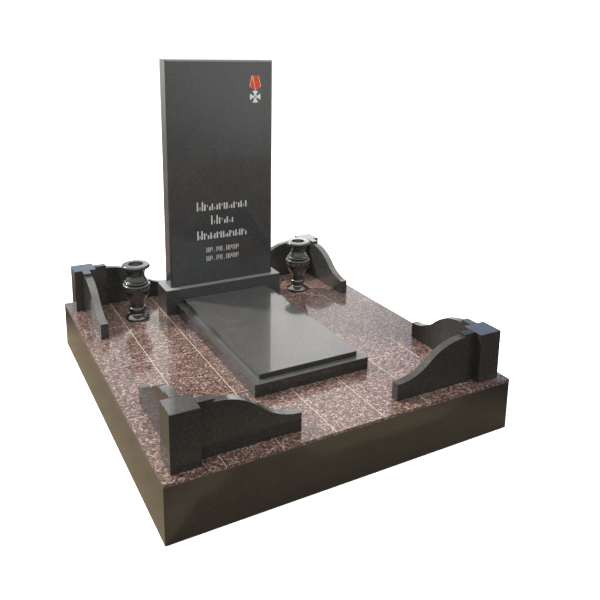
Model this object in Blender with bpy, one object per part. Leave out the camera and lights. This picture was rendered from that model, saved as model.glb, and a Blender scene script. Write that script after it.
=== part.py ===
"""Granite grave monument.

A paved plinth carries a stele on its stand, a stepped ledger, two vases and four corner fences.
Metres, +Z up. The origin is the middle of the plinth's underside, and the front faces -Y.
"""

import math

import bmesh
import bpy
from mathutils import Vector

# Gap left between two pieces that touch.
SEAT_GAP = 0.0003

# How near a point lies to a plane to count as on it.
PICK_TOLERANCE = 0.000001

# Plinth block. It carries everything else.
PLINTH_WIDTH = 2.100
PLINTH_LENGTH = 2.400
PLINTH_HEIGHT = 0.300
PLINTH_ARRIS = 0.002

# Paving on the plinth: polished tiles, long side front to back, with grouted joints.
TILE_COLUMNS = 7
TILE_ROWS = 4
TILE_THICKNESS = 0.015
JOINT_WIDTH = 0.003
GROUT_RECESS = 0.0005

# Corner posts and the two thinner wings of each, which run along the plinth's edges.
POST_SIDE = 0.150
POST_HEIGHT = 0.300
POST_MARGIN = 0.050
POST_ARRIS = 0.003
WING_THICKNESS = 0.050
WING_LENGTH = 0.550
WING_CAP_LENGTH = 0.080
WING_STEP = 0.018
WING_END_HEIGHT = 0.100
WING_SHOULDER_SHARE = 0.53
WING_ARC_STEPS = 9

# Stand under the stele.
STAND_WIDTH = 0.900
STAND_DEPTH = 0.210
STAND_HEIGHT = 0.185
STAND_BACK_MARGIN = 0.360
STAND_ARRIS = 0.002

# Stele, with a wide chamfer round the top and the sides of its front.
STELE_WIDTH = 0.800
STELE_THICKNESS = 0.120
STELE_HEIGHT = 1.610
STELE_CHAMFER = 0.012

# Ledger in front of the stand: a low base slab and a cover slab set in from its edges.
LEDGER_WIDTH = 0.750
LEDGER_LENGTH = 1.330
LEDGER_HEIGHT = 0.075
LEDGER_ARRIS = 0.002
COVER_INSET = 0.050
COVER_THICKNESS = 0.030
COVER_ARRIS = 0.002

# Carved rows on the stele: three rows of tall strokes and two rows of small ones.
# Shares are of a stroke's height.
STROKE_DEPTH = 0.0015
TALL_ROW_WIDTHS = (0.394, 0.180, 0.394)
TALL_ROW_CELLS = (7, 3, 8)
TALL_ROW_TOP_BASE = 0.545
TALL_ROW_PITCH = 0.107
TALL_STROKE = 0.048
FIRST_STROKE = 0.067
STEM_WIDTH = 0.011
STEM_GAP = 0.008
STEM_SHARES = (1.0, 0.6, 0.8)
HAIR_WIDTH = 0.006
HAIR_SHARE = 0.35
HAIR_LOW_SHARES = (0.10, 0.55)
SMALL_ROWS = 2
SMALL_ROW_WIDTH = 0.258
SMALL_ROW_CELLS = 10
SMALL_ROW_TOP_BASE = 0.230
SMALL_ROW_PITCH = 0.065
SMALL_STROKE = 0.038
SMALL_STEM_WIDTH = 0.006
SMALL_STEM_GAP = 0.006
SMALL_SHARES = (1.0, 0.7)
DOT_CELLS = (2, 5)

# Vases beside the stele, at a share of the way from the stand's side to the plinth's edge.
# The heights are above the vase's foot.
VASE_SIDE_SHARE = 0.32
VASE_SETBACK = 0.070
VASE_FOOT_RADIUS = 0.084
VASE_FOOT_EDGE = 0.013
VASE_FOOT_ARRIS = 0.002
VASE_FOOT_TOP_RADIUS = 0.054
VASE_FOOT_THICKNESS = 0.030
VASE_ANKLE_RADIUS = 0.046
VASE_ANKLE_HEIGHT = 0.044
VASE_RING_RADIUS = 0.060
VASE_RING_HEIGHT = 0.069
VASE_RING_THICKNESS = 0.036
VASE_RING_ROUND = 0.012
VASE_WAIST_RADIUS = 0.047
VASE_WAIST_HEIGHT = 0.096
VASE_BELLY_RADIUS = 0.093
VASE_BELLY_HEIGHT = 0.216
VASE_BEAD_RADIUS = 0.096
VASE_BEAD_HEIGHT = 0.245
VASE_BEAD_THICKNESS = 0.020
VASE_BEAD_ROUND = 0.006
VASE_SHOULDER_RADIUS = 0.084
VASE_SHOULDER_HEIGHT = 0.268
VASE_SHOULDER_THICKNESS = 0.014
VASE_SHOULDER_ROUND = 0.005
VASE_COLLAR_RADIUS = 0.072
VASE_COLLAR_RISE = 0.0056
VASE_NECK_RADIUS = 0.059
VASE_NECK_HEIGHT = 0.318
VASE_RIM_RADIUS = 0.097
VASE_RIM_THICKNESS = 0.026
VASE_RIM_ROUND = 0.011
VASE_HEIGHT = 0.398
VASE_MOUTH_RADIUS = 0.051
VASE_BORE_RADIUS = 0.040
VASE_MOUTH_DEPTH = 0.045
VASE_FLOOR_HEIGHT = 0.130
VASE_SIDES = 28

# Worked out from the sizes above.
TILE_BASE = PLINTH_HEIGHT + SEAT_GAP
PAVING_TOP = TILE_BASE + TILE_THICKNESS
SEAT = PAVING_TOP + SEAT_GAP
POST_X = PLINTH_WIDTH / 2 - POST_MARGIN - POST_SIDE / 2
POST_Y = PLINTH_LENGTH / 2 - POST_MARGIN - POST_SIDE / 2
STAND_BACK_Y = PLINTH_LENGTH / 2 - STAND_BACK_MARGIN
STAND_FRONT_Y = STAND_BACK_Y - STAND_DEPTH
STELE_FRONT_Y = (STAND_FRONT_Y + STAND_BACK_Y - STELE_THICKNESS) / 2
STELE_BASE = SEAT + STAND_HEIGHT + SEAT_GAP
LEDGER_BACK_Y = STAND_FRONT_Y - SEAT_GAP
LEDGER_FRONT_Y = LEDGER_BACK_Y - LEDGER_LENGTH
COVER_BASE = SEAT + LEDGER_HEIGHT + SEAT_GAP
VASE_X = (STAND_WIDTH + VASE_SIDE_SHARE * (PLINTH_WIDTH - STAND_WIDTH)) / 2
VASE_Y = STAND_FRONT_Y + VASE_SETBACK

BLACK_GRANITE = ((0.017, 0.016, 0.016), 0.16)
RED_GRANITE = ((0.200, 0.110, 0.090), 0.20)
PALE_GROUT = ((0.620, 0.560, 0.520), 0.85)


def clear_scene():
    for old in list(bpy.data.objects):
        bpy.data.objects.remove(old, do_unlink=True)


def stone(name, finish):
    """A stone of its own for one piece: base colour and roughness."""
    colour, roughness = finish
    material = bpy.data.materials.new(name + "_stone")
    material.use_nodes = True
    shader = material.node_tree.nodes["Principled BSDF"]
    shader.inputs["Base Color"].default_value = (*colour, 1.0)
    shader.inputs["Roughness"].default_value = roughness
    shader.inputs["Metallic"].default_value = 0.0
    material.diffuse_color = (*colour, 1.0)
    return material


def finish_object(name, bm, finish, smooth=False):
    """Turns a bmesh into a named object with its own stone."""
    bmesh.ops.recalc_face_normals(bm, faces=bm.faces)
    mesh = bpy.data.meshes.new(name)
    bm.to_mesh(mesh)
    bm.free()
    obj = bpy.data.objects.new(name, mesh)
    bpy.context.scene.collection.objects.link(obj)
    if finish is not None:
        mesh.materials.append(stone(name, finish))
    if smooth:
        mesh.shade_smooth()
        mesh.set_sharp_from_angle(angle=math.radians(35))
    return obj


def add_block(bm, low, high):
    """A closed block between two corners."""
    low, high = Vector(low), Vector(high)
    made = bmesh.ops.create_cube(bm, size=1.0)
    size = high - low
    bmesh.ops.scale(bm, vec=size, verts=made["verts"])
    bmesh.ops.translate(bm, vec=(low + high) / 2, verts=made["verts"])
    return made["verts"]


def chamfer(bm, width, wanted):
    """A flat chamfer along each edge that wanted(first point, second point) picks."""
    edges = [edge for edge in bm.edges if wanted(edge.verts[0].co, edge.verts[1].co)]
    bmesh.ops.bevel(bm, geom=edges, offset=width, offset_type="OFFSET", segments=1, affect="EDGES")


def not_at_height(height):
    """Picks every edge that doesn't lie at that height."""
    def wanted(first, second):
        return max(abs(first.z - height), abs(second.z - height)) > PICK_TOLERANCE
    return wanted


def place(obj, x, y, z, turn=0.0):
    obj.location = (x, y, z)
    obj.rotation_euler = (0.0, 0.0, turn)
    return obj


def squared_block(name, width, depth, height, arris, finish):
    """A block on its own base, centred in X and Y, with a small arris on all but its lowest edges."""
    bm = bmesh.new()
    add_block(bm, (-width / 2, -depth / 2, 0), (width / 2, depth / 2, height))
    chamfer(bm, arris, not_at_height(0.0))
    return finish_object(name, bm, finish)


def build_plinth():
    plinth = squared_block(
        "plinth_block", PLINTH_WIDTH, PLINTH_LENGTH, PLINTH_HEIGHT, PLINTH_ARRIS, BLACK_GRANITE
    )
    return place(plinth, 0, 0, 0)


def joint_centres(length, count):
    """The middles of the joints between count equal tiles laid along a length."""
    tile = (length - (count - 1) * JOINT_WIDTH) / count
    return [-length / 2 + i * (tile + JOINT_WIDTH) - JOINT_WIDTH / 2 for i in range(1, count)]


def build_paving():
    """One tile for each place in the grid, flush with the plinth's sides."""
    width = (PLINTH_WIDTH - (TILE_COLUMNS - 1) * JOINT_WIDTH) / TILE_COLUMNS
    length = (PLINTH_LENGTH - (TILE_ROWS - 1) * JOINT_WIDTH) / TILE_ROWS
    for column in range(TILE_COLUMNS):
        for row in range(TILE_ROWS):
            bm = bmesh.new()
            add_block(bm, (-width / 2, -length / 2, 0), (width / 2, length / 2, TILE_THICKNESS))
            tile = finish_object(f"paving_tile_{row + 1}_{column + 1}", bm, RED_GRANITE)
            x = -PLINTH_WIDTH / 2 + width / 2 + column * (width + JOINT_WIDTH)
            y = -PLINTH_LENGTH / 2 + length / 2 + row * (length + JOINT_WIDTH)
            place(tile, x, y, TILE_BASE)


def build_grout():
    """The joint filling, one grid of thin bars a little below the paving's top."""
    half = JOINT_WIDTH / 2 - SEAT_GAP
    xs = joint_centres(PLINTH_WIDTH, TILE_COLUMNS)
    ys = joint_centres(PLINTH_LENGTH, TILE_ROWS)
    cuts_x = sorted([-PLINTH_WIDTH / 2, PLINTH_WIDTH / 2] + [x + s * half for x in xs for s in (-1, 1)])
    cuts_y = sorted([-PLINTH_LENGTH / 2, PLINTH_LENGTH / 2] + [y + s * half for y in ys for s in (-1, 1)])
    bm = bmesh.new()
    points = {}

    def corner(i, j):
        if (i, j) not in points:
            points[i, j] = bm.verts.new((cuts_x[i], cuts_y[j], 0))
        return points[i, j]

    for i in range(len(cuts_x) - 1):
        for j in range(len(cuts_y) - 1):
            if i % 2 or j % 2:
                bm.faces.new([corner(i, j), corner(i + 1, j), corner(i + 1, j + 1), corner(i, j + 1)])
    raised = bmesh.ops.extrude_face_region(bm, geom=bm.faces[:])
    top = [item for item in raised["geom"] if isinstance(item, bmesh.types.BMVert)]
    bmesh.ops.translate(bm, vec=(0, 0, TILE_THICKNESS - GROUT_RECESS), verts=top)
    return place(finish_object("joint_grout", bm, PALE_GROUT), 0, 0, TILE_BASE)


def ogee(run, drop):
    """Points of a falling ogee from (0, 0) to (run, -drop): a round shoulder, then a hollow."""
    angle = 2 * math.atan2(drop, run)
    shoulder = WING_SHOULDER_SHARE * run / math.sin(angle)
    hollow = (1 - WING_SHOULDER_SHARE) * run / math.sin(angle)
    points = []
    for step in range(WING_ARC_STEPS):
        turn = angle * step / WING_ARC_STEPS
        points.append((shoulder * math.sin(turn), -shoulder * (1 - math.cos(turn))))
    for step in range(WING_ARC_STEPS + 1):
        turn = angle * (1 - step / WING_ARC_STEPS)
        points.append((run - hollow * math.sin(turn), -drop + hollow * (1 - math.cos(turn))))
    return points


def wing_outline():
    """The wing's side view. It starts at the post, level with its top, steps down and falls in an ogee."""
    shoulder = POST_HEIGHT - WING_STEP
    run = WING_LENGTH - WING_CAP_LENGTH
    outline = [(0, 0), (0, POST_HEIGHT), (WING_CAP_LENGTH, POST_HEIGHT)]
    outline += [(WING_CAP_LENGTH + x, shoulder + z) for x, z in ogee(run, shoulder - WING_END_HEIGHT)]
    outline.append((WING_LENGTH, 0))
    return outline


def build_wing(name, post_x, post_y, turn):
    """A wing that starts at the post's face in the direction of turn."""
    bm = bmesh.new()
    points = [bm.verts.new((x, -WING_THICKNESS / 2, z)) for x, z in wing_outline()]
    side = bm.faces.new(points)
    pulled = bmesh.ops.extrude_face_region(bm, geom=[side])
    moved = [item for item in pulled["geom"] if isinstance(item, bmesh.types.BMVert)]
    bmesh.ops.translate(bm, vec=(0, WING_THICKNESS, 0), verts=moved)
    wing = finish_object(name, bm, BLACK_GRANITE)
    reach = POST_SIDE / 2 + SEAT_GAP
    return place(wing, post_x + reach * math.cos(turn), post_y + reach * math.sin(turn), SEAT, turn)


def build_corner_fences():
    """A post at each corner, with one wing along X and one along Y, both towards the middle of an edge."""
    for side_name, side in (("left", -1), ("right", 1)):
        for end_name, end in (("front", -1), ("back", 1)):
            corner = f"{end_name}_{side_name}"
            x, y = side * POST_X, end * POST_Y
            post = squared_block(
                f"corner_post_{corner}", POST_SIDE, POST_SIDE, POST_HEIGHT, POST_ARRIS, BLACK_GRANITE
            )
            place(post, x, y, SEAT)
            build_wing(f"fence_wing_{corner}_x", x, y, math.pi if side > 0 else 0.0)
            build_wing(f"fence_wing_{corner}_y", x, y, -end * math.pi / 2)


def build_stand():
    stand = squared_block("stele_stand", STAND_WIDTH, STAND_DEPTH, STAND_HEIGHT, STAND_ARRIS, BLACK_GRANITE)
    return place(stand, 0, (STAND_FRONT_Y + STAND_BACK_Y) / 2, SEAT)


def tall_row(width, cells, base):
    """Upright strokes of one tall row, as (left, right, bottom, top)."""
    pitch = width / cells
    strokes = []
    for cell in range(cells):
        left = -width / 2 + cell * pitch
        right = left + pitch - STEM_GAP
        height = FIRST_STROKE if cell == 0 else TALL_STROKE
        strokes.append((left, left + STEM_WIDTH, base, base + height))
        middle = (left + right) / 2
        low = base + height * HAIR_LOW_SHARES[cell % len(HAIR_LOW_SHARES)]
        strokes.append((middle - HAIR_WIDTH / 2, middle + HAIR_WIDTH / 2, low, low + height * HAIR_SHARE))
        share = STEM_SHARES[cell % len(STEM_SHARES)]
        strokes.append((right - STEM_WIDTH, right, base, base + height * share))
    return strokes


def small_row(base):
    """Short strokes in pairs, with two dots between groups, as (left, right, bottom, top)."""
    pitch = SMALL_ROW_WIDTH / SMALL_ROW_CELLS
    strokes = []
    for cell in range(SMALL_ROW_CELLS):
        left = -SMALL_ROW_WIDTH / 2 + cell * pitch
        right = left + pitch - SMALL_STEM_GAP
        if cell in DOT_CELLS:
            dot = (left + right - SMALL_STEM_WIDTH) / 2
            strokes.append((dot, dot + SMALL_STEM_WIDTH, base, base + SMALL_STEM_WIDTH))
            continue
        strokes.append((left, left + SMALL_STEM_WIDTH, base, base + SMALL_STROKE))
        low = base + SMALL_STROKE * (1 - SMALL_SHARES[cell % len(SMALL_SHARES)])
        strokes.append((right - SMALL_STEM_WIDTH, right, low, base + SMALL_STROKE))
    return strokes


def carved_strokes():
    """Every stroke on the stele's front, in the stele's own X and Z."""
    strokes = []
    for row, (width, cells) in enumerate(zip(TALL_ROW_WIDTHS, TALL_ROW_CELLS)):
        strokes += tall_row(width, cells, TALL_ROW_TOP_BASE - row * TALL_ROW_PITCH)
    for row in range(SMALL_ROWS):
        strokes += small_row(SMALL_ROW_TOP_BASE - row * SMALL_ROW_PITCH)
    return strokes


def build_stele():
    """The upright slab, with its front chamfer and the carved rows."""
    bm = bmesh.new()
    half = STELE_WIDTH / 2
    add_block(bm, (-half, 0, 0), (half, STELE_THICKNESS, STELE_HEIGHT))
    chamfer(bm, STELE_CHAMFER, lambda first, second: (
        max(first.y, second.y) < PICK_TOLERANCE < max(first.z, second.z)
    ))
    stele = place(finish_object("stele", bm, BLACK_GRANITE), 0, STELE_FRONT_Y, STELE_BASE)

    tools = bmesh.new()
    for left, right, bottom, top in carved_strokes():
        add_block(tools, (left, -STROKE_DEPTH, bottom), (right, STROKE_DEPTH, top))
    cutter = place(finish_object("stroke_cutter", tools, None), 0, STELE_FRONT_Y, STELE_BASE)
    cutter.hide_render = True
    cutter.display_type = "WIRE"
    carve = stele.modifiers.new("carved rows", "BOOLEAN")
    carve.operation = "DIFFERENCE"
    carve.object = cutter
    return stele


def build_ledger():
    base = squared_block(
        "ledger_base", LEDGER_WIDTH, LEDGER_LENGTH, LEDGER_HEIGHT, LEDGER_ARRIS, BLACK_GRANITE
    )
    place(base, 0, (LEDGER_FRONT_Y + LEDGER_BACK_Y) / 2, SEAT)
    cover = squared_block(
        "ledger_cover", LEDGER_WIDTH - 2 * COVER_INSET, LEDGER_LENGTH - COVER_INSET, COVER_THICKNESS,
        COVER_ARRIS, BLACK_GRANITE
    )
    place(cover, 0, (LEDGER_FRONT_Y + COVER_INSET + LEDGER_BACK_Y) / 2, COVER_BASE)


def blend(first, last, steps):
    """Points between two (radius, height) points along a smooth S, level in radius at both ends."""
    (r0, z0), (r1, z1) = first, last
    points = []
    for step in range(1, steps):
        share = step / steps
        points.append((r0 + (r1 - r0) * (1 - math.cos(math.pi * share)) / 2, z0 + (z1 - z0) * share))
    return points


def bead(radius, height, thickness, depth, steps):
    """A rounded ring's outline, rising from its lower edge, with its widest place at height."""
    points = []
    for step in range(steps + 1):
        turn = math.pi * (step / steps - 0.5)
        points.append((radius - depth * (1 - math.cos(turn)), height + thickness / 2 * math.sin(turn)))
    return points


def vase_outer():
    """The turned outline from the foot's lower edge up to the top of the rim, as (radius, height)."""
    foot_top = (VASE_FOOT_TOP_RADIUS, VASE_FOOT_THICKNESS)
    ankle = (VASE_ANKLE_RADIUS, VASE_ANKLE_HEIGHT)
    outline = [
        (VASE_FOOT_RADIUS - VASE_FOOT_ARRIS, 0.0),
        (VASE_FOOT_RADIUS, VASE_FOOT_ARRIS),
        (VASE_FOOT_RADIUS, VASE_FOOT_EDGE),
        (VASE_FOOT_RADIUS - VASE_FOOT_ARRIS, VASE_FOOT_EDGE + VASE_FOOT_ARRIS),
        foot_top,
    ]
    outline += blend(foot_top, ankle, 2) + [ankle]
    outline += bead(VASE_RING_RADIUS, VASE_RING_HEIGHT, VASE_RING_THICKNESS, VASE_RING_ROUND, 6)
    waist = (VASE_WAIST_RADIUS, VASE_WAIST_HEIGHT)
    belly = (VASE_BELLY_RADIUS, VASE_BELLY_HEIGHT)
    outline += [waist] + blend(waist, belly, 7) + [belly]
    outline += bead(VASE_BEAD_RADIUS, VASE_BEAD_HEIGHT, VASE_BEAD_THICKNESS, VASE_BEAD_ROUND, 4)
    outline += bead(
        VASE_SHOULDER_RADIUS, VASE_SHOULDER_HEIGHT, VASE_SHOULDER_THICKNESS, VASE_SHOULDER_ROUND, 3
    )
    shoulder_top = VASE_SHOULDER_HEIGHT + VASE_SHOULDER_THICKNESS / 2
    collar = (VASE_COLLAR_RADIUS, shoulder_top + VASE_COLLAR_RISE)
    neck = (VASE_NECK_RADIUS, VASE_NECK_HEIGHT)
    outline += [collar] + blend(collar, neck, 3) + [neck]
    flare = (VASE_RIM_RADIUS - VASE_RIM_ROUND, VASE_HEIGHT - VASE_RIM_THICKNESS)
    outline += flared(neck, flare, 4)
    rim_height = VASE_HEIGHT - VASE_RIM_THICKNESS / 2
    return outline + bead(VASE_RIM_RADIUS, rim_height, VASE_RIM_THICKNESS, VASE_RIM_ROUND, 5)


def flared(first, last, steps):
    """Points between two (radius, height) points along a quarter ellipse that starts upright."""
    (r0, z0), (r1, z1) = first, last
    points = []
    for step in range(1, steps):
        share = step / steps
        points.append((r0 + (r1 - r0) * (1 - math.sqrt(1 - share ** 2)), z0 + (z1 - z0) * share))
    return points


def vase_inner():
    """The mouth and the bore from the rim's inner edge down to the floor, as (radius, height)."""
    mouth = (VASE_MOUTH_RADIUS, VASE_HEIGHT)
    throat = (VASE_BORE_RADIUS, VASE_HEIGHT - VASE_MOUTH_DEPTH)
    return [mouth] + blend(mouth, throat, 4) + [throat, (VASE_BORE_RADIUS, VASE_FLOOR_HEIGHT)]


def turned_body(outline, sides):
    """A closed turned body: rings for each point, a cap at the foot and a floor in the bore."""
    bm = bmesh.new()
    rings = []
    for radius, height in outline:
        turns = [2 * math.pi * i / sides for i in range(sides)]
        rings.append([bm.verts.new((radius * math.cos(t), radius * math.sin(t), height)) for t in turns])
    for lower, upper in zip(rings, rings[1:]):
        for i in range(sides):
            j = (i + 1) % sides
            bm.faces.new([lower[i], lower[j], upper[j], upper[i]])
    bm.faces.new(rings[0][::-1])
    bm.faces.new(rings[-1])
    return bm


def build_vases():
    outline = vase_outer() + vase_inner()
    for name, side in (("left", -1), ("right", 1)):
        vase = finish_object(f"vase_{name}", turned_body(outline, VASE_SIDES), BLACK_GRANITE, smooth=True)
        place(vase, side * VASE_X, VASE_Y, SEAT)


def main():
    clear_scene()
    build_plinth()
    build_paving()
    build_grout()
    build_corner_fences()
    build_stand()
    build_stele()
    build_ledger()
    build_vases()


main()
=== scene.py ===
"""Looks of the granite grave monument: its stone finishes, fence wings, vases and emblem, and the studio.

Metres, +Z up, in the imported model's own frame. The front faces -Y.
"""

import logging
import math
from dataclasses import dataclass
from enum import Enum

import bmesh
import bpy
from mathutils import Matrix, Vector


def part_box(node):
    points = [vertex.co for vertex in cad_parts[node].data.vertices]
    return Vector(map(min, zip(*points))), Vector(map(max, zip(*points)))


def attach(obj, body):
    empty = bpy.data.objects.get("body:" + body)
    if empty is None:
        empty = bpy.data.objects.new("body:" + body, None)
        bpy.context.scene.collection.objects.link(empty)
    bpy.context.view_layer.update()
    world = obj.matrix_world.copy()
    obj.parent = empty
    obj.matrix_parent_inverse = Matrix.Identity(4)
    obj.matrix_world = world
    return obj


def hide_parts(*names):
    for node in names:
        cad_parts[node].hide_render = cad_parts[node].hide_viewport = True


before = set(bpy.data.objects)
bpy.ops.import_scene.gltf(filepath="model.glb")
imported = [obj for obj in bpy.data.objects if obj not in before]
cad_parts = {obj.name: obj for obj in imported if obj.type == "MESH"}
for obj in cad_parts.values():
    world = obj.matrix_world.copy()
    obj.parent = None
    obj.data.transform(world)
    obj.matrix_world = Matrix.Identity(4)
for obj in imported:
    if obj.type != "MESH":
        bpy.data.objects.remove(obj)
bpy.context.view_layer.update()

BODY = "root"
SHARP_ANGLE = 30.0
# The Mix node has sockets of the same name for each kind of data, so its colours go by number.
MIX_COLOUR_INPUTS = (6, 7)
MIX_COLOUR_OUTPUT = 2
LOG = logging.getLogger("monument")

Colour = tuple[float, float, float]
Point2 = tuple[float, float]
Stops = tuple[tuple[float, Colour], ...]


class End(Enum):
    """An end of the plinth."""

    FRONT = "front"
    BACK = "back"


class Side(Enum):
    """A side of the plinth, as seen from the front."""

    LEFT = "left"
    RIGHT = "right"


class Blend(Enum):
    """How two colours are mixed."""

    MIX = "MIX"
    MULTIPLY = "MULTIPLY"


class Run(Enum):
    """Which way a fence wing runs from its post."""

    ALONG_X = 0
    ALONG_Y = 1

    @property
    def letter(self) -> str:
        """The letter of its axis in the nodes' names."""
        return "xy"[self.value]


class Graph:
    """A node tree, with short ways to add and join nodes."""

    def __init__(self, tree: bpy.types.NodeTree) -> None:
        """Keeps the tree that takes the nodes."""
        self.tree = tree

    def put(self, node: bpy.types.Node, socket: str | int, value: object) -> None:
        """Links an output to a node's input, or sets the input to a plain value.

        Args:
            node: the node that takes the value.
            socket: the input's name or number.
            value: an output socket or a plain value.
        """
        if isinstance(value, bpy.types.NodeSocket):
            self.tree.links.new(value, node.inputs[socket])
        else:
            node.inputs[socket].default_value = value

    def add(self, kind: str, inputs: dict[str | int, object], **settings: object) -> bpy.types.Node:
        """Adds a node.

        Args:
            kind: the node's type without its ShaderNode prefix.
            inputs: values or output sockets by input name or number.
            settings: the node's own properties.

        Returns:
            The new node.
        """
        node = self.tree.nodes.new("ShaderNode" + kind)
        for key, value in settings.items():
            setattr(node, key, value)
        for socket, value in inputs.items():
            self.put(node, socket, value)
        return node

    def compute(
        self, operation: str, first: object, second: object = 0.0, third: object = 0.0
    ) -> bpy.types.NodeSocket:
        """Does one step of arithmetic, as a Math node names it, and returns the result's socket."""
        return self.add("Math", {0: first, 1: second, 2: third}, operation=operation).outputs[0]

    def ramp(self, factor: object, stops: Stops, stepped: bool = False) -> bpy.types.NodeSocket:
        """A colour for each value of the factor.

        Args:
            factor: the value that picks the colour.
            stops: pairs of a value and its colour, rising.
            stepped: whether the colour jumps at each stop.

        Returns:
            The colour's socket.
        """
        node = self.add("ValToRGB", {0: factor})
        node.color_ramp.interpolation = "CONSTANT" if stepped else "LINEAR"
        elements = node.color_ramp.elements
        while len(elements) > 1:
            elements.remove(elements[-1])
        elements[0].position = stops[0][0]
        elements[0].color = (*stops[0][1], 1.0)
        for position, colour in stops[1:]:
            elements.new(position).color = (*colour, 1.0)
        return node.outputs[0]

    def mix(
        self, factor: object, first: object, second: object, blend: Blend = Blend.MIX
    ) -> bpy.types.NodeSocket:
        """Mixes two colours.

        Args:
            factor: the second colour's share.
            first: the first colour.
            second: the second colour.
            blend: how they are mixed.

        Returns:
            The mixed colour's socket.
        """
        node = self.add("Mix", {0: factor}, data_type="RGBA", blend_type=blend.value)
        for socket, colour in zip(MIX_COLOUR_INPUTS, (first, second)):
            linked = isinstance(colour, bpy.types.NodeSocket)
            self.put(node, socket, colour if linked else (*colour, 1.0))
        return node.outputs[MIX_COLOUR_OUTPUT]

    def between(self, value: object, low: float, high: float) -> bpy.types.NodeSocket:
        """Stretches a value so that 0 becomes low and 1 becomes high."""
        return self.compute("MULTIPLY_ADD", value, high - low, low)

    def shade(self, colour: object, strength: object) -> bpy.types.NodeSocket:
        """Multiplies a colour by a strength, which makes it lighter or darker."""
        grey = self.add("CombineXYZ", {0: strength, 1: strength, 2: strength}).outputs[0]
        return self.mix(1.0, colour, grey, Blend.MULTIPLY)


@dataclass(frozen=True)
class Polish:
    """A stone's gloss: a sharp mirror over a hazy one. The haze is a range of roughness."""

    haze: Point2 = (0.27, 0.35)
    haze_index: float = 1.38
    mirror: float = 1.0
    mirror_roughness: float = 0.06
    mirror_index: float = 1.50


class StoneGraph(Graph):
    """A material's nodes, around one Principled shader."""

    def __init__(self, name: str) -> None:
        """Starts a new material.

        Args:
            name: the material's name.
        """
        self.material = bpy.data.materials.new(name)
        self.material.use_nodes = True
        super().__init__(self.material.node_tree)
        self.shader = self.tree.nodes["Principled BSDF"]

    def place(self) -> bpy.types.NodeSocket:
        """The place on the stone in metres."""
        return self.add("TexCoord", {}).outputs["Object"]

    def noise(self, place: object, size: float, detail: float = 2.0) -> bpy.types.NodeSocket:
        """Soft noise from 0 to 1, in blotches of a size in metres, with so many finer layers."""
        return self.add("TexNoise", {"Vector": place, "Scale": 1 / size, "Detail": detail}).outputs[0]

    def crystals(self, place: object, size: float) -> bpy.types.NodeSocket:
        """One random value from 0 to 1 for each crystal of a mean size in metres."""
        cells = self.add("TexVoronoi", {"Vector": place, "Scale": 1 / size})
        return self.add("SeparateColor", {0: cells.outputs["Color"]}).outputs[0]

    def polish(self, gloss: Polish, wear: object) -> None:
        """Gives the surface its gloss.

        Args:
            gloss: the gloss.
            wear: a value from 0 to 1 that is higher where the stone is duller.
        """
        self.put(self.shader, "Roughness", self.between(wear, *gloss.haze))
        self.put(self.shader, "IOR", gloss.haze_index)
        self.put(self.shader, "Coat Weight", gloss.mirror)
        self.put(self.shader, "Coat Roughness", gloss.mirror_roughness)
        self.put(self.shader, "Coat IOR", gloss.mirror_index)

    def relief(self, height: object, depth: float) -> None:
        """Gives the surface a fine relief, where a height of 1 stands for the depth in metres."""
        bump = self.add("Bump", {"Height": height, "Distance": depth, "Strength": 1.0})
        self.put(self.shader, "Normal", bump.outputs[0])


@dataclass(frozen=True)
class CarvedRows:
    """The painted strokes in the stele's front: their area and how deep they lie."""

    half_width: float = 0.230
    low: float = 0.120
    high: float = 0.640
    least_depth: float = 0.0004
    most_depth: float = 0.0030
    paint: Colour = (0.700, 0.690, 0.670)


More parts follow.
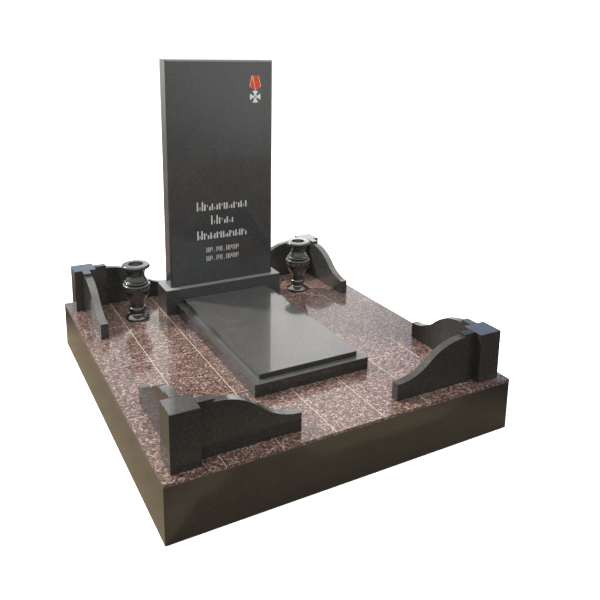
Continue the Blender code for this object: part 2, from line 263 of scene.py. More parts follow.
@dataclass(frozen=True)
class BlackGranite:
    """Polished black granite with a fine grain."""

    tone: Colour = (0.0155, 0.0142, 0.0130)
    grain_stops: Stops = (
        (0.00, (0.66, 0.66, 0.66)),
        (0.45, (0.93, 0.93, 0.93)),
        (0.80, (1.14, 1.14, 1.14)),
        (0.97, (1.85, 1.85, 1.85)),
    )
    grain: float = 0.0034
    cloud: float = 0.140
    cloud_range: Point2 = (0.80, 1.20)
    wear: float = 0.0204
    gloss: Polish = Polish()
    relief: float = 0.00002

    def graph(self, name: str) -> tuple[StoneGraph, bpy.types.NodeSocket]:
        """Builds the stone's nodes, with its gloss and relief, but leaves its colour unlinked.

        Args:
            name: the material's name.

        Returns:
            The nodes and the colour's socket.
        """
        stone = StoneGraph(name)
        place = stone.place()
        stops = tuple((at, tuple(a * b for a, b in zip(grey, self.tone))) for at, grey in self.grain_stops)
        crystals = stone.ramp(stone.crystals(place, self.grain), stops)
        cloud = stone.noise(place, self.cloud, detail=3.0)
        colour = stone.shade(crystals, stone.between(cloud, *self.cloud_range))
        stone.polish(self.gloss, stone.noise(place, self.wear))
        stone.relief(stone.noise(place, self.grain, detail=1.0), self.relief)
        return stone, colour

    def material(self, name: str) -> bpy.types.Material:
        """The finished stone.

        Args:
            name: the material's name.

        Returns:
            The material.
        """
        stone, colour = self.graph(name)
        stone.put(stone.shader, "Base Color", colour)
        return stone.material

    def carved(self, name: str, rows: CarvedRows, front: float, base: float) -> bpy.types.Material:
        """The finished stone of a piece with painted strokes.

        Args:
            name: the material's name.
            rows: the painted strokes.
            front: the Y of the face that carries the strokes.
            base: the Z from which the rows' heights count.

        Returns:
            The material.
        """
        stone, colour = self.graph(name)
        painted = self.painted(stone, rows, front, base)
        stone.put(stone.shader, "Base Color", stone.mix(painted, colour, rows.paint))
        stone.put(stone.shader, "Coat Weight", stone.compute("SUBTRACT", self.gloss.mirror, painted))
        return stone.material

    def painted(self, stone: StoneGraph, rows: CarvedRows, front: float, base: float) -> bpy.types.NodeSocket:
        """Tells the strokes' floors and walls from the polished face by their depth.

        Args:
            stone: the material's nodes.
            rows: the strokes' area and depth.
            front: the Y of the polished face.
            base: the Z from which the rows' heights count.

        Returns:
            A socket that is 1 in a stroke and 0 elsewhere.
        """
        parts = stone.add("SeparateXYZ", {0: stone.place()})
        across, into, up = parts.outputs
        tests = (
            stone.compute("LESS_THAN", stone.compute("ABSOLUTE", across), rows.half_width),
            stone.compute("GREATER_THAN", into, front + rows.least_depth),
            stone.compute("LESS_THAN", into, front + rows.most_depth),
            stone.compute("GREATER_THAN", up, base + rows.low),
            stone.compute("LESS_THAN", up, base + rows.high),
        )
        result = tests[0]
        for test in tests[1:]:
            result = stone.compute("MULTIPLY", result, test)
        return result


@dataclass(frozen=True)
class HonedGranite:
    """Grey granite ground smooth but not polished."""

    grain_stops: Stops = (
        (0.00, (0.120, 0.120, 0.120)),
        (1.00, (0.300, 0.300, 0.295)),
    )
    grain: float = 0.0030
    wear: float = 0.0180
    roughness: Point2 = (0.30, 0.45)
    relief: float = 0.0001

    def material(self, name: str) -> bpy.types.Material:
        """The finished stone.

        Args:
            name: the material's name.

        Returns:
            The material.
        """
        stone = StoneGraph(name)
        place = stone.place()
        crystals = stone.crystals(place, self.grain)
        roughness = stone.between(stone.noise(place, self.wear), *self.roughness)
        stone.put(stone.shader, "Base Color", stone.ramp(crystals, self.grain_stops))
        stone.put(stone.shader, "Roughness", roughness)
        stone.relief(crystals, self.relief)
        return stone.material


@dataclass(frozen=True)
class RedGranite:
    """Polished red-brown granite with large pink grains, cut into tiles."""

    coarse_stops: Stops = (
        (0.00, (0.020, 0.011, 0.009)),
        (0.28, (0.056, 0.028, 0.021)),
        (0.50, (0.132, 0.065, 0.049)),
        (0.70, (0.236, 0.138, 0.111)),
        (0.88, (0.370, 0.290, 0.265)),
    )
    fine_stops: Stops = (
        (0.00, (0.016, 0.010, 0.009)),
        (0.30, (0.070, 0.037, 0.030)),
        (0.60, (0.172, 0.104, 0.088)),
        (0.88, (0.420, 0.345, 0.325)),
    )
    coarse: float = 0.0092
    fine: float = 0.0042
    warp: float = 0.0050
    fine_share: float = 0.36
    tile_jump: float = 7.0
    tile_tone: Point2 = (0.92, 1.08)
    wear: float = 0.0276
    gloss: Polish = Polish(haze=(0.30, 0.40), haze_index=1.26, mirror=0.95, mirror_roughness=0.08)

    def material(self, name: str, corner: Point2, pitch: Point2) -> bpy.types.Material:
        """The finished stone, with a pattern of its own on each tile.

        Args:
            name: the material's name.
            corner: the X and Y of the paving's low corner.
            pitch: the distance from one tile to the next, in X and Y.

        Returns:
            The material.
        """
        stone = StoneGraph(name)
        place = stone.place()
        tile = self.tile_noise(stone, place, corner, pitch)
        moved = self.moved(stone, place, tile.outputs["Color"], self.tile_jump)
        wave = stone.add("TexNoise", {"Vector": moved, "Scale": 1 / self.coarse, "Detail": 2.0})
        warped = self.moved(stone, moved, wave.outputs["Color"], self.warp)
        coarse = stone.ramp(stone.crystals(warped, self.coarse), self.coarse_stops, stepped=True)
        fine = stone.ramp(stone.crystals(warped, self.fine), self.fine_stops, stepped=True)
        grains = stone.mix(self.fine_share, coarse, fine)
        tone = stone.between(tile.outputs["Value"], *self.tile_tone)
        stone.put(stone.shader, "Base Color", stone.shade(grains, tone))
        stone.polish(self.gloss, stone.noise(place, self.wear))
        return stone.material

    def moved(
        self, stone: StoneGraph, place: object, shift: object, distance: float
    ) -> bpy.types.NodeSocket:
        """Moves the place at which a pattern is read, by a shift times a distance in metres."""
        inputs = {0: shift, 1: (distance, distance, distance), 2: place}
        return stone.add("VectorMath", inputs, operation="MULTIPLY_ADD").outputs[0]

    def tile_noise(self, stone: StoneGraph, place: object, corner: Point2, pitch: Point2) -> bpy.types.Node:
        """Random values that are the same all over one tile.

        Args:
            stone: the material's nodes.
            place: the place on the stone.
            corner: the X and Y of the paving's low corner.
            pitch: the distance from one tile to the next, in X and Y.

        Returns:
            The node that holds the values.
        """
        parts = stone.add("SeparateXYZ", {0: place})
        numbers = []
        for part, start, step in zip(parts.outputs, corner, pitch):
            count = stone.compute("MULTIPLY_ADD", part, 1 / step, -start / step)
            numbers.append(stone.compute("FLOOR", count))
        tile = stone.add("CombineXYZ", {0: numbers[0], 1: numbers[1]})
        return stone.add("TexWhiteNoise", {"Vector": tile.outputs[0]}, noise_dimensions="2D")


@dataclass(frozen=True)
class Grout:
    """Pale joint filling."""

    grain_stops: Stops = (
        (0.30, (0.490, 0.415, 0.380)),
        (0.60, (0.620, 0.545, 0.505)),
    )
    grain: float = 0.004
    roughness: float = 0.85
    relief: float = 0.0002

    def material(self, name: str) -> bpy.types.Material:
        """The finished filling.

        Args:
            name: the material's name.

        Returns:
            The material.
        """
        filling = StoneGraph(name)
        grains = filling.noise(filling.place(), self.grain, detail=4.0)
        filling.put(filling.shader, "Base Color", filling.ramp(grains, self.grain_stops))
        filling.put(filling.shader, "Roughness", self.roughness)
        filling.relief(grains, self.relief)
        return filling.material


@dataclass(frozen=True)
class Inlay:
    """A flat coloured inlay, polished with the stone around it."""

    colour: Colour
    shade: Colour
    mottle: Point2 = (0.30, 0.70)
    grain: float = 0.006
    roughness: float = 0.30
    metallic: float = 0.0

    def material(self, name: str) -> bpy.types.Material:
        """The finished inlay.

        Args:
            name: the material's name.

        Returns:
            The material.
        """
        inlay = StoneGraph(name)
        mottle = inlay.noise(inlay.place(), self.grain, detail=3.0)
        stops = tuple(zip(self.mottle, (self.shade, self.colour)))
        inlay.put(inlay.shader, "Base Color", inlay.ramp(mottle, stops))
        inlay.put(inlay.shader, "Roughness", self.roughness)
        inlay.put(inlay.shader, "Metallic", self.metallic)
        return inlay.material


def mesh_object(
    name: str, bm: bmesh.types.BMesh, material: bpy.types.Material, sharp: float = SHARP_ANGLE
) -> bpy.types.Object:
    """Turns a bmesh into an object of the scene.

    Args:
        name: the object's name.
        bm: its mesh, which is freed.
        material: its finish.
        sharp: the angle in degrees from which an edge stays sharp.

    Returns:
        The new object.
    """
    bmesh.ops.recalc_face_normals(bm, faces=bm.faces)
    mesh = bpy.data.meshes.new(name)
    bm.to_mesh(mesh)
    bm.free()
    mesh.materials.append(material)
    mesh.shade_smooth()
    mesh.set_sharp_from_angle(angle=math.radians(sharp))
    piece = bpy.data.objects.new(name, mesh)
    bpy.context.scene.collection.objects.link(piece)
    return piece


def soften(piece: bpy.types.Object, width: float, segments: int = 2) -> None:
    """Rounds a piece's sharp edges a little.

    Args:
        piece: the object.
        width: the rounding's width.
        segments: how many facets it has.
    """
    bevel = piece.modifiers.new("eased edges", "BEVEL")
    bevel.width = width
    bevel.segments = segments
    bevel.limit_method = "ANGLE"
    bevel.angle_limit = math.radians(SHARP_ANGLE)
    bevel.harden_normals = True


def dress(node: str, material: bpy.types.Material) -> bpy.types.Object:
    """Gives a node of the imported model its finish.

    Args:
        node: the node's name.
        material: the finish.

    Returns:
        The node's object.
    """
    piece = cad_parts[node]
    piece.data.materials.clear()
    piece.data.materials.append(material)
    return piece


def dress_tops(piece: bpy.types.Object, material: bpy.types.Material, upward: float = 0.9) -> None:
    """Gives the upward faces of a dressed piece a finish of their own.

    Args:
        piece: the dressed piece.
        material: the upward faces' finish.
        upward: the least Z of such a face's normal.
    """
    # Where the upward faces' finish is a lighter copy of the piece's own stone, as on the fences and the
    # ledger, it is painted light on the tops.
    piece.data.materials.append(material)
    for polygon in piece.data.polygons:
        polygon.material_index = int(polygon.normal.z > upward)


def prism(outline: list[Point2], near: float, far: float) -> bmesh.types.BMesh:
    """A closed body with an upright outline, pulled along Y.

    Args:
        outline: the outline's points in X and Z.
        near: the Y of one side.
        far: the Y of the other.

    Returns:
        The body's mesh.
    """
    bm = bmesh.new()
    side = bm.faces.new([bm.verts.new((x, near, z)) for x, z in outline])
    pulled = bmesh.ops.extrude_face_region(bm, geom=[side])
    moved = [item for item in pulled["geom"] if isinstance(item, bmesh.types.BMVert)]
    bmesh.ops.translate(bm, vec=(0, far - near, 0), verts=moved)
    return bm


def turned(outline: list[Point2], sides: int, closed: bool = True) -> bmesh.types.BMesh:
    """Turns an outline about Z into a body with a flat first end.

    Args:
        outline: points of radius and height.
        sides: how many sides the turned body has.
        closed: whether its last end is flat too, and not open.

    Returns:
        The body's mesh.
    """
    bm = bmesh.new()
    turns = [2 * math.pi * side / sides for side in range(sides)]
    rings = [[bm.verts.new((r * math.cos(t), r * math.sin(t), z)) for t in turns] for r, z in outline]
    for lower, upper in zip(rings, rings[1:]):
        for side in range(sides):
            following = (side + 1) % sides
            bm.faces.new([lower[side], lower[following], upper[following], upper[side]])
    bm.faces.new(rings[0][::-1])
    if closed:
        bm.faces.new(rings[-1])
    return bm


@dataclass
class Plinth:
    """The black block under everything else."""

    stone: BlackGranite
    edge: float = 0.0010

    def build(self) -> list[bpy.types.Object]:
        """Dresses the block.

        Returns:
            The block.
        """
        block = dress("plinth_block", self.stone.material("plinth_granite"))
        soften(block, self.edge)
        return [block]


@dataclass
class Paving:
    """The red tiles and the filling in their joints."""

    stone: RedGranite
    filling: Grout
    rows: int = 4
    columns: int = 7
    edge: float = 0.0006

    def build(self) -> list[bpy.types.Object]:
        """Dresses each tile and the joint filling.

        Returns:
            The dressed pieces.
        """
        low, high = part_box("joint_grout")
        pitch = ((high.x - low.x) / self.columns, (high.y - low.y) / self.rows)
        material = self.stone.material("paving_granite", (low.x, low.y), pitch)
        pieces = []
        for row in range(1, self.rows + 1):
            for column in range(1, self.columns + 1):
                tile = dress(f"paving_tile_{row}_{column}", material)
                soften(tile, self.edge)
                pieces.append(tile)
        pieces.append(dress("joint_grout", self.filling.material("joint_filling")))
        return pieces


@dataclass
class CornerFences:
    """The two posts at one end of the plinth and the two wings at each."""

    end: End
    stone: BlackGranite
    # top is a lighter copy of the fence stone for the upward faces, down to top_slope: painted light where
    # the tops catch the sky and sun.
    top: BlackGranite
    cap_length: float = 0.080
    step: float = 0.018
    end_height: float = 0.100
    shoulder_share: float = 0.53
    arc_steps: int = 40
    top_slope: float = 0.30
    edge: float = 0.0015
    post_edge: float = 0.0005

    def build(self) -> list[bpy.types.Object]:
        """Dresses the posts and builds the wings.

        Returns:
            The posts and the wings.
        """
        material = self.stone.material(f"{self.end.value}_fence_granite")
        # The posts' and wings' upward faces get the lighter top stone: painted light on the tops.
        top = self.top.material(f"{self.end.value}_fence_top_granite")
        pieces = []
        for side in Side:
            corner = f"{self.end.value}_{side.value}"
            post = dress(f"corner_post_{corner}", material)
            dress_tops(post, top)
            soften(post, self.post_edge)
            pieces.append(post)
            for run in Run:
                wing = self.wing(corner, run, material)
                dress_tops(wing, top, self.top_slope)
                pieces.append(wing)
        return pieces

    def wing(self, corner: str, run: Run, material: bpy.types.Material) -> bpy.types.Object:
        """One wing, in the place of its node.

        Args:
            corner: the post's corner, such as front_left.
            run: which way the wing runs.
            material: its finish.

        Returns:
            The wing.
        """
        node = f"fence_wing_{corner}_{run.letter}"
        low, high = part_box(node)
        post_low, post_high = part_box(f"corner_post_{corner}")
        along = run.value
        outward = (low + high)[along] > (post_low + post_high)[along]
        length = high[along] - low[along]
        thickness = high[1 - along] - low[1 - along]
        bm = prism(self.outline(length, high.z - low.z), -thickness / 2, thickness / 2)
        start = low[along] if outward else high[along]
        middle = (low + high) / 2
        if run is Run.ALONG_X:
            place = Vector((start, middle.y, low.z))
            turn = 0.0 if outward else math.pi
        else:
            place = Vector((middle.x, start, low.z))
            turn = math.pi / 2 if outward else -math.pi / 2
        bm.transform(Matrix.Translation(place) @ Matrix.Rotation(turn, 4, "Z"))
        wing = mesh_object(f"wing_{corner}_{run.letter}", bm, material)
        soften(wing, self.edge)
        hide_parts(node)
        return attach(wing, BODY)

    def outline(self, length: float, height: float) -> list[Point2]:
        """The wing's side: level with the post, a step down, then a falling ogee.

        Args:
            length: the wing's length.
            height: its height at the post.

        Returns:
            The outline's points, from the post's foot.
        """
        shoulder_top = height - self.step
        drop = shoulder_top - self.end_height
        outline = [(0.0, 0.0), (0.0, height), (self.cap_length, height)]
        for x, z in self.ogee(length - self.cap_length, drop):
            outline.append((self.cap_length + x, shoulder_top + z))
        outline.append((length, 0.0))
        return outline

    def ogee(self, run: float, drop: float) -> list[Point2]:
        """A round shoulder that turns into a hollow, level at both ends.

        Args:
            run: its horizontal length.
            drop: how far it falls.

        Returns:
            Its points from (0, 0) to (run, -drop).
        """
        angle = 2 * math.atan2(drop, run)
        shoulder = self.shoulder_share * run / math.sin(angle)
        hollow = (1 - self.shoulder_share) * run / math.sin(angle)
        points = []
        for step in range(self.arc_steps):
            turn = angle * step / self.arc_steps
            points.append((shoulder * math.sin(turn), -shoulder * (1 - math.cos(turn))))
        for step in range(self.arc_steps + 1):
            turn = angle * (1 - step / self.arc_steps)
            points.append((run - hollow * math.sin(turn), -drop + hollow * (1 - math.cos(turn))))
        return points


@dataclass
class Emblem:
    """A small inlaid emblem: a red ribbon over a pale cross with flared arms.

    Heights are above the stele's base, and places across are from its middle.
    """

    centre: float = 0.260
    ribbon_top: float = 1.500
    ribbon_shoulder: float = 1.424
    ribbon_point: float = 1.399
    ribbon_top_width: float = 0.056
    ribbon_width: float = 0.092
    border: float = 0.0045
    fold: float = 0.0065
    cross_middle: float = 1.3510
    cross_reach: float = 0.0420
    arm_root: float = 0.0085
    arm_middle: float = 0.00935
    arm_end: float = 0.0235
    arm_bulge: float = 0.0020
    boss: float = 0.0110
    link_width: float = 0.008
    proud: float = 0.0002
    red: Inlay = Inlay((0.960, 0.085, 0.030), (0.820, 0.040, 0.016))
    pale: Inlay = Inlay((0.930, 0.820, 0.640), (0.860, 0.700, 0.500))
    silver: Inlay = Inlay((0.980, 0.970, 0.940), (0.880, 0.870, 0.840))
    rose: Inlay = Inlay((0.620, 0.500, 0.470), (0.480, 0.380, 0.360))

    def build(self, front: float, base: float) -> list[bpy.types.Object]:
        """Builds the emblem on the stele's face.

        Args:
            front: the Y of the stele's face.
            base: the Z of the stele's base.

        Returns:
            Its pieces.
        """
        ribbon = self.ribbon(0.0)
        red = self.ribbon(self.border)
        top_left, point = red[0], red[3]
        fold = [top_left, (top_left[0] + self.fold, top_left[1]), (point[0] + self.fold / 2, point[1]), point]
        layers = (
            ("emblem_ribbon_edge", ribbon, self.pale, 1),
            ("emblem_ribbon", red, self.red, 2),
            ("emblem_ribbon_fold", fold, self.pale, 3),
            ("emblem_link", self.link(), self.silver, 1),
            ("emblem_cross", self.cross(), self.silver, 1),
            ("emblem_boss", self.disc(self.boss), self.rose, 2),
        )
        pieces = []
        for name, outline, inlay, level in layers:
            points = [(self.centre + x, base + z) for x, z in outline]
            bm = prism(points, front - level * self.proud, front + self.proud)
            piece = mesh_object(name, bm, inlay.material(name + "_colour"))
            pieces.append(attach(piece, BODY))
        return pieces

    def ribbon(self, inset: float) -> list[Point2]:
        """The ribbon's outline: narrow at the top, wide at the shoulder, pointed below.

        Args:
            inset: how far it is drawn in from its edge at the sides.

        Returns:
            Its points, from the top left.
        """
        top = self.ribbon_top_width / 2 - inset
        wide = self.ribbon_width / 2 - inset
        return [
            (-top, self.ribbon_top),
            (top, self.ribbon_top),
            (wide, self.ribbon_shoulder),
            (0.0, self.ribbon_point),
            (-wide, self.ribbon_shoulder),
        ]

    def link(self) -> list[Point2]:
        """The small link between the ribbon and the cross.

        Returns:
            Its four points.
        """
        half = self.link_width / 2
        low = self.cross_middle + self.cross_reach
        return [(-half, low), (half, low), (half, self.ribbon_point), (-half, self.ribbon_point)]

    def cross(self) -> list[Point2]:
        """The outline of four flared arms, each with a slightly round end.

        Returns:
            Its points, in order around the middle.
        """
        points = []
        for arm in range(4):
            turn = Matrix.Rotation(arm * math.pi / 2, 2)
            shape = (
                (self.cross_reach - self.arm_bulge, -self.arm_end),
                (self.cross_reach, 0.0),
                (self.cross_reach - self.arm_bulge, self.arm_end),
                (self.cross_reach / 2, self.arm_middle),
                (self.arm_root, self.arm_root),
                (self.arm_middle, self.cross_reach / 2),
            )
            for point in shape:
                x, z = turn @ Vector(point)
                points.append((x, self.cross_middle + z))
        return points

    def disc(self, radius: float, steps: int = 32) -> list[Point2]:
        """A round outline of a radius at the cross's middle, with so many points."""
        turns = [2 * math.pi * step / steps for step in range(steps)]
        return [(radius * math.cos(t), self.cross_middle + radius * math.sin(t)) for t in turns]


@dataclass
class SteleOnStand:
    """The upright slab with its painted rows and emblem, and the block under it."""

    stone: BlackGranite
    honed: HonedGranite
    rows: CarvedRows
    emblem: Emblem
    edge: float = 0.0010

    def build(self) -> list[bpy.types.Object]:
        """Dresses the stand and the slab and adds the emblem.

        Returns:
            The pieces.
        """
        low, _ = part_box("stele")
        stand = dress("stele_stand", self.stone.material("stand_granite"))
        dress_tops(stand, self.honed.material("stand_top_granite"))
        soften(stand, self.edge)
        slab = dress("stele", self.stone.carved("stele_granite", self.rows, low.y, low.z))
        return [stand, slab] + self.emblem.build(low.y, low.z)


@dataclass
class Ledger:
    """The low slab in front of the stand and the cover set in on it."""

    stone: BlackGranite
    # top is a lighter copy of the ledger stone for the slabs' upward faces: painted light on the tops.
    top: BlackGranite
    edge: float = 0.0010

    def build(self) -> list[bpy.types.Object]:
        """Dresses both slabs.

        Returns:
            The slabs.
        """
        material = self.stone.material("ledger_granite")
        # The sides keep the darker stone and the tops get the lighter one: painted shade on the sides and
        # painted light on the tops.
        top = self.top.material("ledger_top_granite")
        slabs = [dress(node, material) for node in ("ledger_base", "ledger_cover")]
        for slab in slabs:
            dress_tops(slab, top)
            soften(slab, self.edge)
        return slabs


@dataclass
class Vases:
    """The two turned vases. Heights are above the foot, and widths are radii."""

    stone: BlackGranite
    foot: float = 0.084
    foot_edge: float = 0.013
    foot_arris: float = 0.002
    foot_top: Point2 = (0.054, 0.030)
    ankle: Point2 = (0.046, 0.044)
    ring: Point2 = (0.060, 0.069)
    ring_thickness: float = 0.036
    ring_round: float = 0.012
    waist: Point2 = (0.047, 0.096)
    belly: Point2 = (0.093, 0.216)
    bead: Point2 = (0.096, 0.245)
    bead_thickness: float = 0.020
    bead_round: float = 0.006
    shoulder: Point2 = (0.084, 0.268)
    shoulder_thickness: float = 0.014
    shoulder_round: float = 0.005
    collar_radius: float = 0.072
    collar_rise: float = 0.0056
    neck: Point2 = (0.059, 0.318)
    rim: float = 0.097
    rim_thickness: float = 0.026
    rim_round: float = 0.011
    mouth: float = 0.051
    bore: float = 0.040
    mouth_depth: float = 0.045
    floor_height: float = 0.130
    sides: int = 96
    fine: int = 12
    sharp: float = 40.0

    def build(self) -> list[bpy.types.Object]:
        """Turns both vases in the places of their nodes.

        Returns:
            The vases.
        """
        material = self.stone.material("vase_granite")
        pieces = []
        for side in Side:
            low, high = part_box(f"vase_{side.value}")
            outline = self.outer(high.z - low.z) + self.inner(high.z - low.z)
            bm = turned(outline, self.sides)
            bmesh.ops.translate(bm, vec=((low.x + high.x) / 2, (low.y + high.y) / 2, low.z), verts=bm.verts)
            vase = mesh_object(f"turned_vase_{side.value}", bm, material, self.sharp)
            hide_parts(f"vase_{side.value}")
            pieces.append(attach(vase, BODY))
        return pieces

    def outer(self, height: float) -> list[Point2]:
        """The outside, from the foot's lower edge to the rim's top.

        Args:
            height: the vase's height.

        Returns:
            Points of radius and height.
        """
        outline = [
            (self.foot - self.foot_arris, 0.0),
            (self.foot, self.foot_arris),
            (self.foot, self.foot_edge),
            (self.foot - self.foot_arris, self.foot_edge + self.foot_arris),
            self.foot_top,
        ]
        outline += self.blend(self.foot_top, self.ankle) + [self.ankle]
        outline += self.rounded(self.ring, self.ring_thickness, self.ring_round)
        outline += [self.waist] + self.blend(self.waist, self.belly) + [self.belly]
        outline += self.rounded(self.bead, self.bead_thickness, self.bead_round)
        outline += self.rounded(self.shoulder, self.shoulder_thickness, self.shoulder_round)
        collar = (self.collar_radius, self.shoulder[1] + self.shoulder_thickness / 2 + self.collar_rise)
        outline += [collar] + self.blend(collar, self.neck) + [self.neck]
        outline += self.flare(self.neck, (self.rim - self.rim_round, height - self.rim_thickness))
        rim = (self.rim, height - self.rim_thickness / 2)
        return outline + self.rounded(rim, self.rim_thickness, self.rim_round)

    def inner(self, height: float) -> list[Point2]:
        """The mouth and the bore, from the rim's top down to the floor.

        Args:
            height: the vase's height.

        Returns:
            Points of radius and height.
        """
        mouth = (self.mouth, height)
        throat = (self.bore, height - self.mouth_depth)
        return [mouth] + self.blend(mouth, throat) + [throat, (self.bore, self.floor_height)]

    def blend(self, first: Point2, last: Point2) -> list[Point2]:
        """Points along a smooth S between two points, which are left out.

        Args:
            first: the radius and height that it starts from.
            last: the radius and height that it ends at.

        Returns:
            Points of radius and height.
        """
        points = []
        for step in range(1, self.fine):
            share = step / self.fine
            swing = (1 - math.cos(math.pi * share)) / 2
            points.append((first[0] + (last[0] - first[0]) * swing, first[1] + (last[1] - first[1]) * share))
        return points

    def flare(self, first: Point2, last: Point2) -> list[Point2]:
        """Points along a quarter ellipse that starts upright; both ends are left out.

        Args:
            first: the radius and height that it starts from.
            last: the radius and height that it ends at.

        Returns:
            Points of radius and height.
        """
        points = []
        for step in range(1, self.fine):
            share = math.sin(math.pi / 2 * step / self.fine)
            out = 1 - math.sqrt(1 - share ** 2)
            points.append((first[0] + (last[0] - first[0]) * out, first[1] + (last[1] - first[1]) * share))
        return points

    def rounded(self, widest: Point2, thickness: float, depth: float) -> list[Point2]:
        """A ring with a round edge.

        Args:
            widest: the radius and height of its widest place.
            thickness: its height.
            depth: how far the round edge goes in.

        Returns:
            Points of radius and height.
        """
        radius, height = widest
        points = []
        for step in range(self.fine + 1):
            turn = math.pi * (step / self.fine - 0.5)
            points.append((radius - depth * (1 - math.cos(turn)), height + thickness / 2 * math.sin(turn)))
        return points


@dataclass(frozen=True)
class Glow:
    """A soft bright patch of the sky, with angles in degrees."""

    side: float
    height: float
    inner: float
    outer: float
    colour: Colour


def towards(side: float, height: float) -> Vector:
    """A direction.

    Args:
        side: degrees from +Y towards +X.
        height: degrees above the horizon.

    Returns:
        Its unit vector.
    """
    turn, rise = math.radians(side), math.radians(height)
    return Vector((math.sin(turn) * math.cos(rise), math.cos(turn) * math.cos(rise), math.sin(rise)))


@dataclass
class Studio:
    """The pale floor, the light and the camera. Angles are in degrees.

    earth_stops runs outwards from the middle, as a share of earth_radius. The other earth stops run from
    rim to rim along X and along Y, and multiply it. sky_stops runs from straight down to straight up.
    """

    sweep_radius: float = 11.0
    sweep_bend: float = 2.5
    sweep_height: float = 9.0
    sweep_flat_shares: tuple[float, ...] = (0.02, 0.2, 0.4, 0.6)
    sweep_bend_steps: int = 12
    sweep_sides: int = 96
    sweep_sharp: float = 80.0
    floor_colour: Colour = (0.800, 0.800, 0.800)
    floor_glow: float = 0.50
    earth_radius: float = 8.0
    earth_depth: float = 0.001
    earth_sides: int = 64
    earth_stops: Stops = (
        (0.00, (0.265, 0.215, 0.142)),
        (0.21, (0.265, 0.215, 0.142)),
        (0.26, (0.078, 0.052, 0.047)),
        (0.40, (0.085, 0.066, 0.060)),
        (1.00, (0.175, 0.165, 0.155)),
    )
    earth_across_stops: Stops = (
        (0.350, (1.000, 1.000, 1.000)),
        (0.394, (0.580, 0.580, 0.580)),
        (0.431, (0.580, 0.580, 0.580)),
        (0.439, (1.000, 1.000, 1.000)),
    )
    earth_along_stops: Stops = (
        (0.645, (1.000, 1.000, 1.000)),
        (0.675, (2.000, 2.000, 2.000)),
        (0.740, (2.000, 2.000, 2.000)),
        (0.850, (1.000, 1.000, 1.000)),
    )
    earth_patch: float = 0.080
    earth_mottle: Point2 = (0.75, 1.25)
    sun_strength: float = 4.6
    sun_colour: Colour = (1.0, 0.975, 0.940)
    sun_spread: float = 5.0
    sun_height: float = 40.0
    sun_side: float = -45.0
    sky_stops: Stops = (
        (0.00, (0.250, 0.190, 0.120)),
        (0.38, (0.250, 0.200, 0.160)),
        (0.43, (0.400, 0.380, 0.360)),
        (0.485, (1.000, 0.980, 0.950)),
        (0.52, (1.000, 1.000, 0.980)),
        (0.58, (0.640, 0.720, 0.780)),
        (0.66, (0.580, 0.680, 0.780)),
        (0.76, (0.700, 0.730, 0.750)),
        (0.86, (1.150, 1.140, 1.100)),
        (0.93, (2.100, 2.060, 1.960)),
        (1.00, (2.500, 2.450, 2.320)),
    )
    glows: tuple[Glow, ...] = (
        Glow(27.5, 23.0, 9.0, 17.0, (1.62, 1.59, 1.54)),
        Glow(51.0, 24.0, 5.0, 19.0, (0.050, 0.200, 0.470)),
        Glow(7.0, 16.0, 1.0, 9.0, (0.300, 0.520, 0.820)),
        Glow(154.0, -2.0, 1.0, 11.0, (1.450, 1.440, 1.420)),
        Glow(30.0, 10.5, 1.0, 9.0, (2.30, 2.27, 2.18)),
        Glow(-22.0, 46.0, 8.0, 30.0, (2.40, 2.34, 2.20)),
    )
    camera_place: tuple[float, float, float] = (-1.797, -3.786, 2.2253)
    camera_turn: float = 29.90
    camera_pitch: float = 12.82
    camera_roll: float = 1.16
    sensor: float = 36.0
    focal_pixels: float = 673.4
    middle_column: float = 314.3
    middle_row: float = 198.0
    picture: float = 600.0

    def build(self) -> None:
        """Sets up the floor, the light and the camera."""
        self.sweep()
        self.earth()
        self.sun()
        self.sky()
        self.camera()
        bpy.context.scene.view_settings.view_transform = "Standard"

    def sweep(self) -> None:
        """The pale floor that curves up into a wall all round, which only the camera sees."""
        outline = [(self.sweep_radius * share, 0.0) for share in self.sweep_flat_shares]
        flat = self.sweep_radius - self.sweep_bend
        for step in range(self.sweep_bend_steps + 1):
            turn = math.pi / 2 * step / self.sweep_bend_steps
            rise = self.sweep_bend * (1 - math.cos(turn))
            outline.append((flat + self.sweep_bend * math.sin(turn), rise))
        outline.append((self.sweep_radius, self.sweep_height))
        paint = StoneGraph("pale_floor")
        paint.put(paint.shader, "Base Color", (*self.floor_colour, 1.0))
        paint.put(paint.shader, "Roughness", 1.0)
        paint.put(paint.shader, "Specular IOR Level", 0.0)
        paint.put(paint.shader, "Emission Color", (1.0, 1.0, 1.0, 1.0))
        paint.put(paint.shader, "Emission Strength", self.floor_glow)
        bm = turned(outline, self.sweep_sides, closed=False)
        sweep = mesh_object("studio_sweep", bm, paint.material, self.sweep_sharp)
        sweep.visible_glossy = False
        sweep.visible_diffuse = False
        sweep.visible_shadow = False

    def earth(self) -> None:
        """The ground that shows only in the stone's polish."""
        bm = bmesh.new()
        bmesh.ops.create_circle(bm, cap_ends=True, segments=self.earth_sides, radius=self.earth_radius)
        bmesh.ops.translate(bm, vec=(0, 0, -self.earth_depth), verts=bm.verts)
        paint = StoneGraph("earth")
        place = paint.place()
        away = paint.add("VectorMath", {0: place}, operation="LENGTH").outputs["Value"]
        ring = paint.ramp(paint.compute("DIVIDE", away, self.earth_radius), self.earth_stops)
        mottle = paint.between(paint.noise(place, self.earth_patch, detail=3.0), *self.earth_mottle)
        colour = paint.shade(ring, mottle)
        parts = paint.add("SeparateXYZ", {0: place})
        for axis, stops in enumerate((self.earth_across_stops, self.earth_along_stops)):
            share = paint.compute("MULTIPLY_ADD", parts.outputs[axis], 0.5 / self.earth_radius, 0.5)
            colour = paint.mix(1.0, colour, paint.ramp(share, stops), Blend.MULTIPLY)
        paint.put(paint.shader, "Base Color", colour)
        paint.put(paint.shader, "Roughness", 1.0)
        paint.put(paint.shader, "Specular IOR Level", 0.0)
        earth = mesh_object("studio_earth", bm, paint.material)
        earth.visible_camera = False
        earth.visible_diffuse = False
        earth.visible_shadow = False

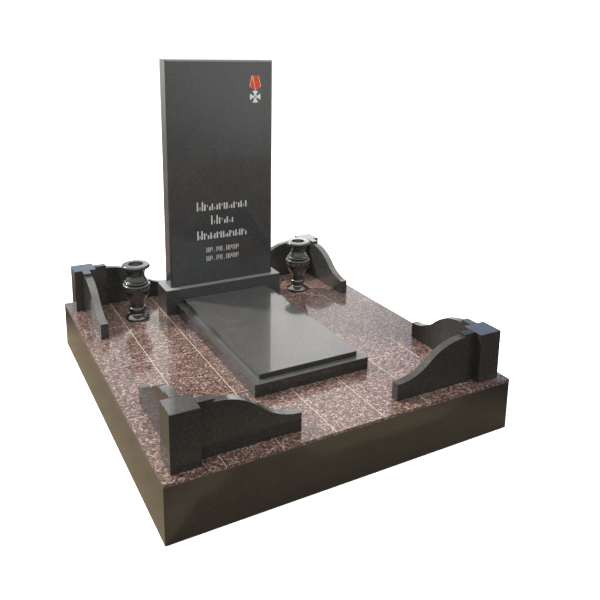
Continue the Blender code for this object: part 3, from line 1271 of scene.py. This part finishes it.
    def sun(self) -> None:
        """The key light, from behind on the left."""
        lamp = bpy.data.lights.new("key_light", "SUN")
        lamp.energy = self.sun_strength
        lamp.color = self.sun_colour
        lamp.angle = math.radians(self.sun_spread)
        key = bpy.data.objects.new("key_light", lamp)
        direction = towards(self.sun_side, self.sun_height)
        key.location = direction * self.sweep_radius
        key.rotation_euler = (-direction).to_track_quat("-Z", "Y").to_euler()
        bpy.context.scene.collection.objects.link(key)

    def sky(self) -> None:
        """The soft light all round, with bright patches behind the monument."""
        world = bpy.data.worlds.new("studio_light")
        world.use_nodes = True
        bpy.context.scene.world = world
        light = Graph(world.node_tree)
        direction = light.add("TexCoord", {}).outputs["Generated"]
        upward = light.add("SeparateXYZ", {0: direction}).outputs[2]
        colour = light.ramp(light.between(upward, 0.5, 1.0), self.sky_stops)
        for glow in self.glows:
            colour = light.mix(self.nearness(light, direction, glow), colour, glow.colour)
        light.put(light.tree.nodes["Background"], "Color", colour)

    def nearness(self, light: Graph, direction: object, glow: Glow) -> bpy.types.NodeSocket:
        """How near a direction is to a patch of the sky.

        Args:
            light: the world's nodes.
            direction: the direction.
            glow: the patch.

        Returns:
            A socket that is 1 within the patch's inner angle and falls to 0 at its outer one.
        """
        middle = {0: direction, 1: towards(glow.side, glow.height)}
        cosine = light.add("VectorMath", middle, operation="DOT_PRODUCT").outputs["Value"]
        limits = {
            "Value": light.compute("ARCCOSINE", cosine),
            "From Min": math.radians(glow.outer),
            "From Max": math.radians(glow.inner),
        }
        return light.add("MapRange", limits, interpolation_type="SMOOTHSTEP").outputs[0]

    def camera(self) -> None:
        """The camera at the photograph's viewing angle."""
        data = bpy.data.cameras.new("camera")
        data.sensor_width = self.sensor
        data.lens = self.focal_pixels * self.sensor / self.picture
        data.shift_x = (self.picture / 2 - self.middle_column) / self.picture
        data.shift_y = (self.middle_row - self.picture / 2) / self.picture
        camera = bpy.data.objects.new("camera", data)
        forward = towards(self.camera_turn, -self.camera_pitch)
        level = forward.cross(Vector((0, 0, 1))).normalized()
        upright = level.cross(forward)
        roll = math.radians(self.camera_roll)
        right = level * math.cos(roll) + upright * math.sin(roll)
        up = upright * math.cos(roll) - level * math.sin(roll)
        aim = Matrix((right, up, -forward)).transposed().to_4x4()
        camera.matrix_world = Matrix.Translation(self.camera_place) @ aim
        bpy.context.scene.collection.objects.link(camera)
        bpy.context.scene.camera = camera


def main() -> None:
    """Builds the studio and each part of the monument in order, and reports each piece."""
    logging.basicConfig(level=logging.INFO, format="%(name)s: %(message)s")
    Studio().build()
    fence_gloss = Polish(haze=(0.22, 0.30), haze_index=1.16, mirror=0.60, mirror_index=1.43)
    front_fence = BlackGranite((0.0290, 0.0262, 0.0240), gloss=fence_gloss)
    # The back fences' stone is lighter than the front ones': painted light, standing in for the reflections
    # on their shaded faces.
    back_fence_painted_lighter = BlackGranite((0.0330, 0.0315, 0.0290), gloss=Polish(haze=(0.22, 0.30), haze_index=1.30))
    # A lighter copy of the fence stone for the fences' upward faces: painted light on the tops.
    fence_top_painted_light = BlackGranite((0.0480, 0.0470, 0.0450))
    stele = BlackGranite((0.0400, 0.0400, 0.0400), gloss=Polish(haze=(0.32, 0.42), haze_index=1.40))
    # One ledger stone in two copies: a darker one for the sides and a lighter one for the tops, painted shade
    # and painted light.
    ledger = BlackGranite((0.0240, 0.0220, 0.0210), gloss=Polish(haze=(0.20, 0.28), haze_index=1.28))
    ledger_top_painted_light = BlackGranite((0.0620, 0.0600, 0.0570))
    vase_gloss = Polish(haze=(0.22, 0.30), haze_index=1.34, mirror_index=1.72)
    vase = BlackGranite((0.0190, 0.0180, 0.0135), gloss=vase_gloss)
    parts = (
        Plinth(BlackGranite()),
        Paving(RedGranite(), Grout()),
        CornerFences(End.FRONT, front_fence, fence_top_painted_light),
        CornerFences(End.BACK, back_fence_painted_lighter, fence_top_painted_light),
        SteleOnStand(stele, HonedGranite(), CarvedRows(), Emblem()),
        Ledger(ledger, ledger_top_painted_light),
        Vases(vase),
    )
    for part in parts:
        for piece in part.build():
            LOG.info("%s: %s, %d faces", type(part).__name__, piece.name, len(piece.data.polygons))


if __name__ == "__main__":
    main()
